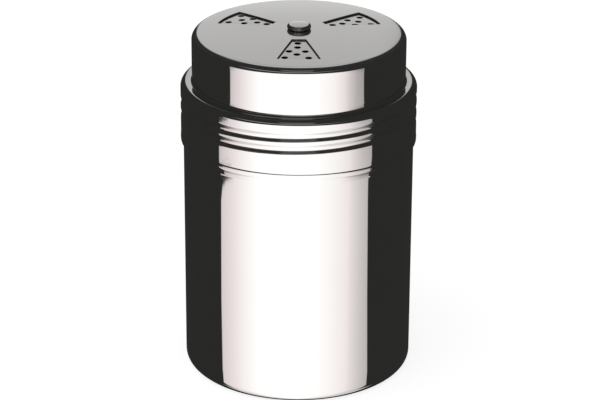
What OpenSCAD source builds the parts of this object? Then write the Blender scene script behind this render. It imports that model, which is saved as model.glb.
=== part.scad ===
// Stainless steel shaker for spice: a drawn can, a screw-on lid with three windows,
// and a sieve disc under the lid that a small knob turns.
// Millimetres, +Z up, origin at the middle of the face that the can stands on.

/* [Can] */
// Outside diameter of the can
can_d = 70; // [60:1:80]
// Height of the wall that shows below the lid
wall_h = 73.5; // [55:0.1:100]
// Thickness of the can's sheet
can_sheet = 0.5; // [0.45:0.05:0.7]
// Outside radius between the wall and the base
base_r = 3; // [1.5:0.1:4]
// Width of the flat ring that the can stands on
foot_w = 2.5; // [1.5:0.1:6]
// Height that the middle of the base is pressed up
base_lift = 1; // [0.5:0.1:2]
// Width of the slope between the ring and the pressed-up middle
base_slope_w = 1.6; // [1:0.1:3]
// Step from the wall in to the neck
neck_step = 0.7; // [0.6:0.05:0.9]
// Radius of the two soft bends of that step
neck_bend_r = 24; // [12:0.5:28]
// How far below the lid's edge that step begins
neck_start = 2; // [1:0.1:3]
// Outside radius of the curled rim
curl_r = 1.0; // [0.9:0.05:1.2]
// How far round the rim is curled, in degrees
curl_turn = 250; // [180:5:280]

/* [Screw thread] */
// Rise in one turn
pitch = 3.8; // [3.5:0.1:5]
// Depth of the groove rolled into the lid's skirt
groove_depth = 0.6; // [0.4:0.05:0.65]
// Width of the groove's steep flank, below its bottom
groove_steep_w = 1.2; // [0.9:0.05:1.4]
// Width of the groove's gentle flank, above its bottom
groove_gentle_w = 1.9; // [1.4:0.05:2]
// Half the width of the ridge on the can's neck
ridge_half_w = 1.15; // [0.9:0.05:1.3]
// Height of the groove's first turn over the skirt's lower edge, at the +X side
groove_rise = 10.2; // [8.8:0.1:10.2]
// Turns of groove below and above that place
groove_turns = [-1.05, 1.1];
// Turns of ridge below and above the same place
ridge_turns = [-0.7, 0.75];
// Height of the ridge over the groove that hooks under it
hook_offset = 1.9; // [1.8:0.05:2]

/* [Lid] */
// Thickness of the lid's sheet
lid_sheet = 0.4; // [0.35:0.05:0.6]
// Clearance between the skirt and the neck's ridge
skirt_clear = 0.36; // [0.3:0.01:0.4]
// Height of the skirt, up to the shoulder
skirt_h = 18.5; // [18.5:0.1:20]
// Height of the rolled hem
hem_h = 1.7; // [1:0.1:2]
// How far the hem bulges past the skirt
hem_bulge = 0.08; // [0.05:0.01:0.2]
// Depth of the crease above the hem
hem_crease = 0.1; // [0.05:0.01:0.3]
// Outside radius of the shoulder's edge
shoulder_r = 1.8; // [1:0.1:1.9]
// Outside diameter of the raised cap
cap_d = 64.6; // [55:0.1:66]
// Radius of the corner between cap and shoulder
cap_foot_r = 0.4; // [0.3:0.1:1.3]
// Height of the cap's middle over the shoulder
cap_h = 16; // [13:0.1:22]
// Outside radius of the cap's upper edge
cap_edge_r = 2; // [1:0.1:3]
// Rise of the crown from its edge to its middle
crown_h = 1.1; // [0.6:0.05:2.5]
// Gap between the can's rim and the shoulder's underside
seat_gap = 0.3; // [0.2:0.05:0.5]

/* [Windows] */
// Number of windows in the lid
window_count = 3; // [2:1:3]
// Distance from the middle to a window's inner edge
window_in = 9.2; // [8:0.1:12]
// Distance from the middle to a window's outer edge
window_out = 25.6; // [20:0.1:26]
// Width of a window at its inner edge
window_in_w = 4.1; // [3:0.1:5]
// Width of a window at its outer edge
window_out_w = 13.3; // [9:0.1:14]

/* [Sieve disc] */
// Diameter of the disc
disc_d = 56; // [54:0.5:58]
// Thickness of the disc's sheet
disc_sheet = 0.5; // [0.4:0.05:0.8]
// Gap between the disc and the lid's underside
disc_gap = 0.1; // [0.1:0.05:0.6]
// Diameter of the middle-sized holes
medium_hole_d = 2; // [1.5:0.1:2.4]
// Diameter of the large holes
coarse_hole_d = 3; // [2.5:0.1:3.4]
// Angle between the settings
setting_angle = 40; // [38:1:42]
// Angle that the disc is turned from the windows
disc_trim = -1.6; // [-4:0.1:4]

/* [Knob and washers] */
// Diameter of the knob's head
knob_d = 7.2; // [6:0.1:10]
// Height of the side of the head
knob_side_h = 0.75; // [0.7:0.05:3]
// Radius that the side is rounded in to at its foot
knob_foot_r = 0.6; // [0.1:0.05:0.6]
// Radius of the edge between side and dome
knob_edge_r = 0.75; // [0.3:0.05:0.8]
// Height of the head's dome over the side
knob_dome_h = 0.95; // [0.9:0.05:2]
// Diameter of the shank
shank_d = 4; // [3.4:0.1:5]
// Distance across the two flats of the shank
shank_flats = 3.2; // [2.8:0.1:3.3]
// Radial clearance of the shank in the lid's bore
bore_clear = 0.05; // [0.03:0.01:0.1]
// Clearance between a washer or the disc and what it turns on
washer_clear = 0.15; // [0.1:0.01:0.2]
// Diameter of the spring washer
spring_d = 10; // [9:0.1:12]
// Height of the spring washer's cone
spring_h = 0.9; // [0.8:0.05:1.2]
// Thickness of the spring washer
spring_sheet = 0.4; // [0.3:0.05:0.5]
// Diameter of the retaining washer
retainer_d = 9; // [8:0.1:12]
// Thickness of the retaining washer
retainer_t = 0.8; // [0.6:0.1:1.5]
// Diameter of the spread end of the shank
stake_d = 5.4; // [5.2:0.1:6.5]
// Height of the spread end of the shank
stake_h = 0.6; // [0.4:0.1:1]

/* [Hidden] */

$fn = 96;
steel = [0.78, 0.78, 0.79];
dark_steel = [0.62, 0.62, 0.64];
arc_steps = 8;
crown_steps = 12;
eps = 0.01;

// Radii and heights that follow from the sizes above
can_r = can_d / 2;
neck_r = can_r - neck_step;
skirt_in_r = can_r + skirt_clear;
skirt_r = skirt_in_r + lid_sheet;
cap_r = cap_d / 2;
shoulder_z = wall_h + skirt_h;
lid_top_z = shoulder_z + cap_h;
rim_z = shoulder_z - lid_sheet - seat_gap;
shank_r = shank_d / 2;

// The crown is part of a sphere that meets the cap's rounded edge without a crease
crown_edge_x = cap_r - cap_edge_r;
crown_r = (pow(crown_edge_x, 2) + pow(crown_h, 2)) / (2 * crown_h);
crown_centre_z = lid_top_z - crown_r;
edge_centre_z = crown_centre_z + sqrt(pow(crown_r - cap_edge_r, 2) - pow(crown_edge_x, 2));
edge_angle = atan2(edge_centre_z - crown_centre_z, crown_edge_x);

// The pieces under the lid, from the disc down
disc_top_r = crown_r - lid_sheet - disc_gap;
disc_under_z = lid_top_z - lid_sheet - disc_gap - disc_sheet;
spring_z = disc_under_z - washer_clear - spring_h;
retainer_z = spring_z - washer_clear - retainer_t;
flats_z = disc_under_z + disc_sheet + disc_gap / 2;

// The rolled thread is a band of sheet between plain rings. It is thinner than they
// are, so that its flat facets end inside them.
band_steps = 72;
band_row_h = 0.45;
band_lap = 0.3;
seam_cover = 0.06;
thread_flat = 0.2;
thread_run_out = 40;
thread_turns_seen = 2;

// Power that the hem's section is rounded with: 1 is half an ellipse, less is squarer
hem_rounding = 0.4;

// Points on an arc about [x, z], from angle a0 to angle a1
function arc(x, z, r, a0, a1, steps = arc_steps) =
    [for (i = [0:steps]) let (t = i / steps, a = a0 * (1 - t) + a1 * t) [x + r * cos(a), z + r * sin(a)]];

// Points on the crown at radius r of its sphere, from the axis out to angle a1
function crown_arc(r, a1) = arc(0, crown_centre_z, r, 90, a1, crown_steps);

// Height of the thread's form across its width, 0 to 1, with u = 1 at its edge
function thread_form(u) =
    u >= 1 ? 0 : u <= thread_flat ? 1 : (1 + cos(180 * (u - thread_flat) / (1 - thread_flat))) / 2;

// The thread rises from nothing and dies away again at its two ends
function run_out(a, turns) =
    let (from_end = min(a - 360 * turns[0], 360 * turns[1] - a))
    from_end <= 0 ? 0 : from_end >= thread_run_out ? 1 : (1 - cos(180 * from_end / thread_run_out)) / 2;

// Height of the thread at angle a and height z; start_z is its height at angle 0,
// and widths are those of its flanks, below and above its middle
function thread_lift(a, z, start_z, widths, turns) =
    max([for (k = [-thread_turns_seen:thread_turns_seen])
        let (whole = a + 360 * k, off = z - start_z - pitch * whole / 360)
        run_out(whole, turns) * thread_form(off < 0 ? -off / widths[0] : off / widths[1])]);

function thread_top_z(start_z, widths, turns) = start_z + pitch * turns[1] + widths[1];
function thread_low_z(start_z, widths, turns) = start_z + pitch * turns[0] - widths[0];

// A ring of sheet with a thread rolled into it, which laps into the plain rings above
// and below: lift is the thread's height, positive outwards
module thread_band(r, sheet, lift, start_z, widths, turns) {
    z0 = thread_low_z(start_z, widths, turns) - band_lap;
    z1 = thread_top_z(start_z, widths, turns) + band_lap;
    sag = r * (1 - cos(180 / band_steps));
    outer_r = r - seam_cover;
    inner_r = r - sheet + seam_cover + sag;
    rows = ceil((z1 - z0) / band_row_h);
    ring = [for (j = [0:rows]) for (i = [0:band_steps - 1])
        let (a = 360 * i / band_steps, z = z0 + (z1 - z0) * j / rows)
        [a, z, lift * thread_lift(a, z, start_z, widths, turns)]];
    points = concat(
        [for (p = ring) [(outer_r + p[2]) * cos(p[0]), (outer_r + p[2]) * sin(p[0]), p[1]]],
        [for (p = ring) [(inner_r + p[2]) * cos(p[0]), (inner_r + p[2]) * sin(p[0]), p[1]]]);
    inside = len(ring);
    top = rows * band_steps;
    outer_faces = [for (j = [0:rows - 1]) for (i = [0:band_steps - 1])
        let (n = (i + 1) % band_steps, a = j * band_steps + i, b = j * band_steps + n,
            c = b + band_steps, d = a + band_steps)
        each [[a, c, b], [a, d, c]]];
    inner_faces = [for (f = outer_faces) [f[0] + inside, f[2] + inside, f[1] + inside]];
    end_faces = [for (i = [0:band_steps - 1])
        let (n = (i + 1) % band_steps)
        each [[i, n, n + inside], [i, n + inside, i + inside],
            [top + i, top + n + inside, top + n], [top + i, top + i + inside, top + n + inside]]];
    polyhedron(points = points, faces = concat(outer_faces, inner_faces, end_faces), convexity = 10);
}

groove_z = wall_h + groove_rise;
groove_widths = [groove_steep_w, groove_gentle_w];
groove_low_z = thread_low_z(groove_z, groove_widths, groove_turns);
groove_top_z = thread_top_z(groove_z, groove_widths, groove_turns);
ridge_z = groove_z + hook_offset;
ridge_widths = [ridge_half_w, ridge_half_w];
ridge_low_z = thread_low_z(ridge_z, ridge_widths, ridge_turns);
ridge_top_z = thread_top_z(ridge_z, ridge_widths, ridge_turns);

// Section of the can below its thread: base, wall, and the step in to the neck
module can_lower_section() {
    bend = acos(1 - neck_step / (2 * neck_bend_r));
    bend_z = wall_h - neck_start;
    bend_top_z = bend_z + 2 * neck_bend_r * sin(bend);
    foot_out = can_r - base_r;
    foot_in = foot_out - foot_w;
    lift_x = foot_in - base_slope_w;
    outside = concat(
        [[0, base_lift], [lift_x, base_lift], [foot_in, 0]],
        arc(foot_out, base_r, base_r, -90, 0),
        arc(can_r - neck_bend_r, bend_z, neck_bend_r, 0, bend),
        arc(neck_r + neck_bend_r, bend_top_z, neck_bend_r, 180 + bend, 180),
        [[neck_r, ridge_low_z]]);
    inside = concat(
        [[neck_r - can_sheet, ridge_low_z]],
        arc(neck_r + neck_bend_r, bend_top_z, neck_bend_r + can_sheet, 180, 180 + bend),
        arc(can_r - neck_bend_r, bend_z, neck_bend_r - can_sheet, bend, 0),
        arc(foot_out, base_r, base_r - can_sheet, 0, -90),
        [[foot_in, can_sheet], [lift_x, base_lift + can_sheet], [0, base_lift + can_sheet]]);
    polygon(concat(outside, inside));
}

// Section of the can above its thread: a short neck and the curled rim
module can_upper_section() {
    x = neck_r - curl_r;
    z = rim_z - curl_r;
    polygon(concat(
        [[neck_r - can_sheet, ridge_top_z], [neck_r, ridge_top_z]],
        arc(x, z, curl_r, 0, curl_turn, 3 * arc_steps),
        arc(x, z, curl_r - can_sheet, curl_turn, 0, 3 * arc_steps)));
}

// The can, drawn from one sheet, with the ridge of its thread rolled into the neck
module body_can() {
    color(steel) {
        rotate_extrude() can_lower_section();
        rotate_extrude() can_upper_section();
        thread_band(neck_r, can_sheet, neck_step, ridge_z, ridge_widths, ridge_turns);
    }
}

// Section of the lid above its thread: crown, cap wall, shoulder, top of the skirt
module lid_upper_section() {
    edge_x = cap_r - cap_edge_r;
    foot_x = cap_r + cap_foot_r;
    foot_z = shoulder_z + cap_foot_r;
    turn_x = skirt_r - shoulder_r;
    turn_z = shoulder_z - shoulder_r;
    outside = concat(
        crown_arc(crown_r, edge_angle),
        arc(edge_x, edge_centre_z, cap_edge_r, edge_angle, 0),
        arc(foot_x, foot_z, cap_foot_r, 180, 270),
        arc(turn_x, turn_z, shoulder_r, 90, 0),
        [[skirt_r, groove_top_z], [skirt_in_r, groove_top_z]]);
    inside = concat(
        arc(turn_x, turn_z, shoulder_r - lid_sheet, 0, 90),
        arc(foot_x, foot_z, cap_foot_r + lid_sheet, 270, 180),
        arc(edge_x, edge_centre_z, cap_edge_r - lid_sheet, 0, edge_angle),
        [for (i = [crown_steps:-1:0]) crown_arc(crown_r - lid_sheet, edge_angle)[i]]);
    polygon(concat(outside, inside));
}

// Section of the skirt below its thread, with the rolled hem, which is nearly upright
// and rounded over at its two edges
module lid_lower_section() {
    hem = [for (i = [0:2 * arc_steps])
        let (a = 90 - 180 * i / (2 * arc_steps))
        [skirt_r - hem_crease + (hem_crease + hem_bulge) * pow(cos(a), hem_rounding),
            wall_h + hem_h / 2 + hem_h / 2 * sin(a)]];
    polygon(concat(
        [[skirt_in_r, groove_low_z], [skirt_r, groove_low_z], [skirt_r, wall_h + hem_h + hem_crease]],
        hem,
        [[skirt_in_r, wall_h]]));
}

// Outline of one window: straight sides and an outer edge concentric with the lid
module window_outline() {
    intersection() {
        polygon([[window_in, -window_in_w / 2], [cap_r, -window_side(cap_r)],
            [cap_r, window_side(cap_r)], [window_in, window_in_w / 2]]);
        circle(r = window_out);
    }
}

// Half the width of a window at distance x from the middle
function window_side(x) =
    (window_in_w + (window_out_w - window_in_w) * (x - window_in) / (window_out - window_in)) / 2;

// Places a shape at each window; the first window faces -Y
module at_windows() {
    for (i = [0:window_count - 1]) rotate(-90 + 360 * i / window_count) children();
}

// The lid, pressed from one sheet, with the groove of its thread rolled into the skirt
module lid_shell() {
    color(steel) difference() {
        union() {
            rotate_extrude() lid_upper_section();
            rotate_extrude() lid_lower_section();
            thread_band(skirt_r, lid_sheet, -groove_depth, groove_z, groove_widths, groove_turns);
        }
        at_windows() translate([0, 0, shoulder_z + cap_h / 2]) linear_extrude(cap_h) window_outline();
        translate([0, 0, lid_top_z - cap_h / 2]) cylinder(r = shank_r + bore_clear, h = cap_h);
    }
}

// The holes of one setting of the disc, as [distance out, distance across]
medium_places = [[11.5, 0], [14.9, 0], [18, -2.4], [18, 2.4], [20.4, 0], [22.9, -3.5], [22.9, 3.5]];
coarse_places = [[12.2, 0], [17, -2.3], [17, 2.3], [21.8, -3.4], [21.8, 3.4]];

module hole_set(places, d) {
    for (p = places) translate(p) cylinder(d = d, h = cap_h);
}

// The double-D outline of the shank's lower part, larger all round by clear
module shank_outline(clear) {
    intersection() {
        circle(r = shank_r + clear);
        square([shank_d * 2, shank_flats + 2 * clear], center = true);
    }
}

// The disc follows the crown. Each window can show the middle-sized holes, the large
// holes or plain sheet.
module sieve_disc() {
    disc_angle = acos(disc_d / 2 / disc_top_r);
    color(dark_steel) rotate(disc_trim) difference() {
        rotate_extrude() polygon(concat(
            crown_arc(disc_top_r, disc_angle),
            [for (i = [crown_steps:-1:0]) crown_arc(disc_top_r - disc_sheet, disc_angle)[i]]));
        translate([0, 0, lid_top_z - cap_h / 2]) {
            at_windows() hole_set(medium_places, medium_hole_d);
            rotate(setting_angle) at_windows() hole_set(coarse_places, coarse_hole_d);
            linear_extrude(cap_h) shank_outline(bore_clear);
        }
    }
}

// The knob's head sits on the lid, and its shank holds everything below it
module turning_knob() {
    head_z = lid_top_z + bore_clear;
    knob_r = knob_d / 2;
    edge_x = knob_r - knob_edge_r;
    dome_r = (pow(edge_x, 2) + pow(knob_dome_h, 2) - pow(knob_edge_r, 2))
        / (2 * (knob_dome_h - knob_edge_r));
    dome_angle = atan2(dome_r - knob_dome_h, edge_x);
    stake_r = (pow(stake_d / 2, 2) + pow(stake_h, 2)) / (2 * stake_h);
    color(steel) rotate(disc_trim) {
        translate([0, 0, head_z]) rotate_extrude() polygon(concat(
            [[0, 0]],
            arc(knob_r - knob_foot_r, knob_foot_r, knob_foot_r, -90, 0),
            arc(edge_x, knob_side_h, knob_edge_r, 0, dome_angle),
            arc(0, knob_side_h + knob_dome_h - dome_r, dome_r, dome_angle, 90)));
        translate([0, 0, flats_z]) cylinder(r = shank_r, h = head_z - flats_z + eps);
        translate([0, 0, retainer_z - eps])
            linear_extrude(flats_z - retainer_z + 2 * eps) shank_outline(0);
        translate([0, 0, retainer_z]) rotate_extrude() polygon(concat(
            [[0, 0]],
            arc(0, stake_r - stake_h, stake_r, -90, -acos(stake_d / 2 / stake_r))));
    }
}

// A shallow cone of spring steel that presses the disc up against the lid
module spring_washer() {
    in_r = shank_r + washer_clear;
    out_r = spring_d / 2;
    color(dark_steel) translate([0, 0, spring_z]) rotate_extrude() polygon([
        [in_r, 0], [out_r, spring_h - spring_sheet], [out_r, spring_h], [in_r, spring_sheet]]);
}

// The flat washer that the shank's end is spread over
module retaining_washer() {
    color(dark_steel) translate([0, 0, retainer_z]) rotate(disc_trim) linear_extrude(retainer_t)
        difference() {
            circle(d = retainer_d);
            shank_outline(bore_clear);
        }
}

body_can();
lid_shell();
sieve_disc();
turning_knob();
spring_washer();
retaining_washer();
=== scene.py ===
"""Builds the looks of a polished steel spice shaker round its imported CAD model.

The can, the lid and the sieve disc are modelled as bent and punched sheet, the knob and
the two washers as turned and stamped pieces. Each one stands for the CAD node of its
name. Lengths are metres, in the frame of the CAD model.
"""

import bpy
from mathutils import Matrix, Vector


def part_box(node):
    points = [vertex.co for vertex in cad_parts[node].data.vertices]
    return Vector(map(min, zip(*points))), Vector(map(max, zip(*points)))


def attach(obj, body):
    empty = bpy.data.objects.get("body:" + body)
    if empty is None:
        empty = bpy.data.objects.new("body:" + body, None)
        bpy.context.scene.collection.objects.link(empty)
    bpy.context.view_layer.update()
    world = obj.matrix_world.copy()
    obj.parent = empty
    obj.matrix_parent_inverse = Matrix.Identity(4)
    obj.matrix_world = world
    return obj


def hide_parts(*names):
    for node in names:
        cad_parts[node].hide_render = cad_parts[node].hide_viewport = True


bl_info = {
    "name": "Steel Spice Shaker",
    "version": (1, 0, 0),
    "blender": (4, 5, 0),
    "location": "View3D > Sidebar > Shaker",
    "description": "Polished steel shaker with a screw lid and a sieve disc that a knob turns",
    "category": "Add Mesh",
}

import math

import bmesh
import bpy
from bpy.props import FloatProperty, FloatVectorProperty, IntProperty, PointerProperty
from mathutils import Matrix, Vector

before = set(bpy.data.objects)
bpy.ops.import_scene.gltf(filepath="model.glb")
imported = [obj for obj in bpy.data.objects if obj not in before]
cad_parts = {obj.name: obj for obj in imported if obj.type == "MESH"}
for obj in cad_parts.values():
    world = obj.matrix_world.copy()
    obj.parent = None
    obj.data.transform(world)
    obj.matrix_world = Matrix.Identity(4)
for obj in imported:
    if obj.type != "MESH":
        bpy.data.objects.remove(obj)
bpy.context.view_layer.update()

MM = 0.001
TURN = 2 * math.pi
DEGREE = math.pi / 180
NEAR = 0.01 * MM  # two places closer than this count as one

# Faces in one turn of the round pieces and holes
CAN_FACES = 256
LID_FACES = 240
DISC_FACES = 192
SMALL_FACES = 96
BORE_FACES = 48
COARSE_FACES = 32
MEDIUM_FACES = 24

# Holes of one setting of the disc, as (distance from the axis, distance to the side) in millimetres
MEDIUM_HOLES = ((11.5, 0), (14.9, 0), (18, -2.4), (18, 2.4), (20.4, 0), (22.9, -3.5), (22.9, 3.5))
COARSE_HOLES = ((12.2, 0), (17, -2.3), (17, 2.3), (21.8, -3.4), (21.8, 3.4))

CAN_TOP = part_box("body_can")[1]
LID_FOOT, LID_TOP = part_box("lid_shell")
DISC_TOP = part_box("sieve_disc")[1]
KNOB_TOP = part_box("turning_knob")[1]
SPRING_FOOT, SPRING_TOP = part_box("spring_washer")
WASHER_FOOT, WASHER_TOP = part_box("retaining_washer")


# Sizes and finishes that a user would change


def length(name, description, default):
    """A property that holds a length in metres."""
    return FloatProperty(
        name=name, description=description, default=default,
        unit="LENGTH", subtype="DISTANCE", precision=5,
    )


def angle(name, description, degrees):
    """A property that holds an angle."""
    return FloatProperty(
        name=name, description=description, default=math.radians(degrees),
        unit="ROTATION", subtype="ANGLE",
    )


def share(name, description, default, high=1.0):
    """A property that holds a plain number from 0 up."""
    return FloatProperty(name=name, description=description, default=default, min=0.0, max=high)


def colour(name, description, default):
    """A property that holds a colour in linear light."""
    return FloatVectorProperty(
        name=name, description=description, default=default,
        subtype="COLOR", size=3, min=0.0, max=1.0,
    )


class CanSizes(bpy.types.PropertyGroup):
    """Sizes of the drawn can."""

    radius: length("Radius", "Outside radius of the can", 35.0 * MM)
    rim_height: length("Rim height", "Height of the curled rim", CAN_TOP.z)
    sheet: length("Sheet", "Thickness of the can's sheet", 0.5 * MM)
    base_radius: length("Base radius", "Outside radius between wall and base", 3.0 * MM)
    foot_width: length("Foot width", "Width of the flat ring that the can stands on", 2.5 * MM)
    base_lift: length("Base lift", "Height that the middle of the base is pressed up", 1.0 * MM)
    slope_width: length("Slope width", "Width of the slope up to the pressed-up middle", 1.6 * MM)
    neck_step: length("Neck step", "Step from the wall in to the neck", 0.7 * MM)
    neck_bend: length("Neck bend", "Radius of the two soft bends of that step", 24.0 * MM)
    neck_start: length("Neck start", "How far below the lid's edge the step begins", 2.0 * MM)
    curl_radius: length("Curl radius", "Outside radius of the curled rim", 1.0 * MM)
    curl_turn: angle("Curl turn", "How far round the rim is curled", 250)
    edge: length("Edge", "Rounding of the sheet's cut edge", 0.08 * MM)


class ThreadSizes(bpy.types.PropertyGroup):
    """Sizes of the rolled screw thread."""

    pitch: length("Pitch", "Rise of the thread in one turn", 3.8 * MM)
    groove_depth: length("Groove depth", "Depth of the groove in the skirt", 0.6 * MM)
    groove_steep: length("Groove steep side", "Width of the groove's lower side", 1.2 * MM)
    groove_gentle: length("Groove gentle side", "Width of the groove's upper side", 1.9 * MM)
    groove_rise: length("Groove rise", "Height of the groove over the skirt's edge, at +X", 10.2 * MM)
    groove_below: share("Groove below", "Turns of groove below that place", 1.05, 3.0)
    groove_above: share("Groove above", "Turns of groove above that place", 1.1, 3.0)
    ridge_half: length("Ridge half width", "Half the width of the ridge on the neck", 1.15 * MM)
    ridge_below: share("Ridge below", "Turns of ridge below that place", 0.7, 3.0)
    ridge_above: share("Ridge above", "Turns of ridge above that place", 0.75, 3.0)
    hook: length("Hook", "Height of the ridge over the groove that hooks under it", 1.9 * MM)
    run_out: angle("Run-out", "Turn over which the thread dies away at its ends", 40)
    flat: share("Flat", "Share of the thread's half width that is flat", 0.2)


class LidSizes(bpy.types.PropertyGroup):
    """Sizes of the pressed lid."""

    sheet: length("Sheet", "Thickness of the lid's sheet", 0.4 * MM)
    top: length("Top", "Height of the crown's middle", LID_TOP.z)
    foot: length("Foot", "Height of the skirt's lower edge", LID_FOOT.z)
    skirt_clear: length("Skirt clearance", "Clearance between skirt and can", 0.36 * MM)
    skirt_height: length("Skirt height", "Height of the skirt, up to the shoulder", 18.5 * MM)
    hem_height: length("Hem height", "Height of the rolled hem", 1.7 * MM)
    hem_bulge: length("Hem bulge", "How far the hem bulges past the skirt", 0.08 * MM)
    hem_crease: length("Hem crease", "Depth of the crease above the hem", 0.1 * MM)
    hem_rounding: share("Hem rounding", "Power that rounds the hem's section; 1 is half an ellipse", 0.4)
    shoulder_radius: length("Shoulder radius", "Outside radius of the shoulder's edge", 1.8 * MM)
    cap_radius: length("Cap radius", "Outside radius of the raised cap", 32.3 * MM)
    cap_foot: length("Cap foot", "Radius of the corner between cap and shoulder", 0.4 * MM)
    cap_edge: length("Cap edge", "Outside radius of the cap's upper edge", 2.0 * MM)
    crown_rise: length("Crown rise", "Rise of the crown from its edge to its middle", 1.1 * MM)
    bore_radius: length("Bore radius", "Radius of the knob's bore", 2.05 * MM)
    edge: length("Edge", "Rounding of the punched edges", 0.04 * MM)


class WindowSizes(bpy.types.PropertyGroup):
    """Sizes of the windows in the lid."""

    count: IntProperty(name="Count", description="Number of windows", default=3, min=2, max=3)
    near: length("Near edge", "Distance from the middle to a window's inner edge", 9.2 * MM)
    far: length("Far edge", "Distance from the middle to a window's outer edge", 25.6 * MM)
    near_width: length("Near width", "Width at the inner edge", 4.1 * MM)
    far_width: length("Far width", "Width at the outer edge", 13.3 * MM)
    corner: length("Corner", "Radius of the punched corners", 0.15 * MM)
    margin: length("Margin", "How far past the windows the crown is made as filled sheet", 1.4 * MM)


class DiscSizes(bpy.types.PropertyGroup):
    """Sizes of the sieve disc."""

    radius: length("Radius", "Radius of the disc", DISC_TOP.x)
    sheet: length("Sheet", "Thickness of the disc", 0.5 * MM)
    gap: length("Gap", "Gap between disc and lid", 0.1 * MM)
    medium_radius: length("Medium hole", "Radius of the middle-sized holes", 1.0 * MM)
    coarse_radius: length("Coarse hole", "Radius of the large holes", 1.5 * MM)
    setting: angle("Setting", "Angle between the settings", 40)
    trim: angle("Trim", "Angle that the disc is turned from the windows", -1.6)
    fit: length("Fit", "Clearance of the disc on the shank", 0.05 * MM)
    edge: length("Edge", "Rounding of the punched edges", 0.03 * MM)


class KnobSizes(bpy.types.PropertyGroup):
    """Sizes of the knob and its shank."""

    head_radius: length("Head radius", "Radius of the knob's head", 3.6 * MM)
    top: length("Top", "Height of the top of the dome", KNOB_TOP.z)
    side: length("Side", "Height of the side of the head", 0.75 * MM)
    dome: length("Dome", "Height of the dome over that side", 0.95 * MM)
    foot: length("Foot", "Radius that the side is rounded in to at its foot", 0.6 * MM)
    edge: length("Edge", "Radius of the edge between side and dome", 0.75 * MM)
    shank_radius: length("Shank radius", "Radius of the shank", 2.0 * MM)
    flats: length("Flats", "Half the distance across the shank's flats", 1.6 * MM)
    stake_radius: length("Stake radius", "Radius of the spread end", 2.7 * MM)
    stake: length("Stake height", "Height of the spread end", 0.6 * MM)
    bevel: length("Bevel", "Bevel under the head, and what the flats run past the disc", 0.05 * MM)


class WasherSizes(bpy.types.PropertyGroup):
    """Sizes of the two washers under the disc."""

    spring_sheet: length("Spring sheet", "Thickness of the spring washer", 0.4 * MM)
    spring_bore: length("Spring bore", "Radius of the spring washer's bore", 2.15 * MM)
    edge: length("Edge", "Rounding of the washers' edges", 0.08 * MM)
    fit: length("Fit", "Clearance of the flat washer on the shank", 0.05 * MM)


class SteelFinish(bpy.types.PropertyGroup):
    """Colours and polish of the steel."""

    polished: colour("Polished", "Colour of the polished sheet", (0.80, 0.79, 0.78))
    rolled: colour("Rolled", "Colour of the disc's bright rolled sheet", (0.74, 0.73, 0.72))
    tumbled: colour("Tumbled", "Colour of the spring steel", (0.62, 0.61, 0.60))
    mirror: share("Mirror", "Roughness of the mirror polish", 0.025)
    satin: share("Satin", "Roughness of the crown's fine polish", 0.10)
    bright: share("Bright", "Roughness of the bright rolled sheet", 0.10)
    stamped: share("Stamped", "Roughness of the stamped washers", 0.30)


class StudioSettings(bpy.types.PropertyGroup):
    """Camera, floor and light."""

    distance: length("Distance", "Distance from the camera to the point it aims at", 776.4 * MM)
    aim_height: length("Aim height", "Height of the point that the camera aims at", 52.32 * MM)
    aim_side: length("Aim side", "Distance of that point from the middle", 0.55 * MM)
    pitch: angle("Pitch", "How far the camera looks down", 22.79)
    roll: angle("Roll", "How far the camera is rolled", 0.3)
    lens: FloatProperty(name="Lens", description="Focal length", default=151.2, unit="CAMERA")
    floor_colour: colour("Floor", "Colour of the floor", (0.90, 0.90, 0.90))
    floor_white: share("Floor white", "Share of plain white that the camera sees in the floor", 0.8)
    floor_half: length("Floor half width", "Half the width of the floor", 4.0)
    lamp_width: length("Lamp width", "Width of the soft lamp", 1.2)
    lamp_depth: length("Lamp depth", "Depth of the soft lamp", 0.9)
    lamp_power: FloatProperty(name="Lamp power", description="Power of the lamp", default=9.0, unit="POWER")
    lamp_place: FloatVectorProperty(
        name="Lamp place", description="Where the lamp hangs", default=(-0.35, -0.45, 1.1),
        subtype="TRANSLATION", unit="LENGTH",
    )
    card: share("Card", "Brightness of the white card in front", 1.3, 4.0)
    wall: share("Wall", "Brightness of the pale wall behind", 1.0, 4.0)
    dark: share("Dark", "Brightness of the dark room", 0.027, 4.0)


# Sections: lines of (distance from the axis, height), in pairs for the two faces of a sheet


def arc(x, z, radius, start, end, steps=8):
    """Points on an arc about (x, z), from one angle to another, in radians."""
    points = []
    for i in range(steps + 1):
        a = start + (end - start) * i / steps
        points.append((x + radius * math.cos(a), z + radius * math.sin(a)))
    return points


def bend(x, z, outer, inner, start, end, steps=8):
    """Bent sheet: pairs of points on the arcs of its outer and its inner face."""
    return list(zip(arc(x, z, outer, start, end, steps), arc(x, z, inner, start, end, steps)))


def between(first, last, t):
    """The pair at share t of the way from one pair to another."""
    return tuple(tuple(a + (b - a) * t for a, b in zip(p, q)) for p, q in zip(first, last))


def straight(first, last, steps):
    """Pairs between two pairs, without the two themselves."""
    return [between(first, last, i / steps) for i in range(1, steps)]


def rows_at(outer_r, inner_r, low, high, step):
    """Pairs up a plain wall, close enough together to carry a thread."""
    count = math.ceil((high - low) / step)
    heights = [low + (high - low) * i / count for i in range(count + 1)]
    return [((outer_r, h), (inner_r, h)) for h in heights]


def dome_height(r, radius, top):
    """Height at distance r from the axis of a dome of that radius."""
    return top - radius + math.sqrt(radius * radius - r * r)


def crown_shape(lid):
    """Radius of the crown's sphere, and centre and upper angle of the rounded edge it meets."""
    edge_x = lid.cap_radius - lid.cap_edge
    radius = (edge_x**2 + lid.crown_rise**2) / (2 * lid.crown_rise)
    centre = lid.top - radius
    edge_z = centre + math.sqrt((radius - lid.cap_edge) ** 2 - edge_x**2)
    return radius, edge_x, edge_z, math.atan2(edge_z - centre, edge_x)


# Outlines of holes: lists of (point, outward normal), so that an outline can be grown


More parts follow.
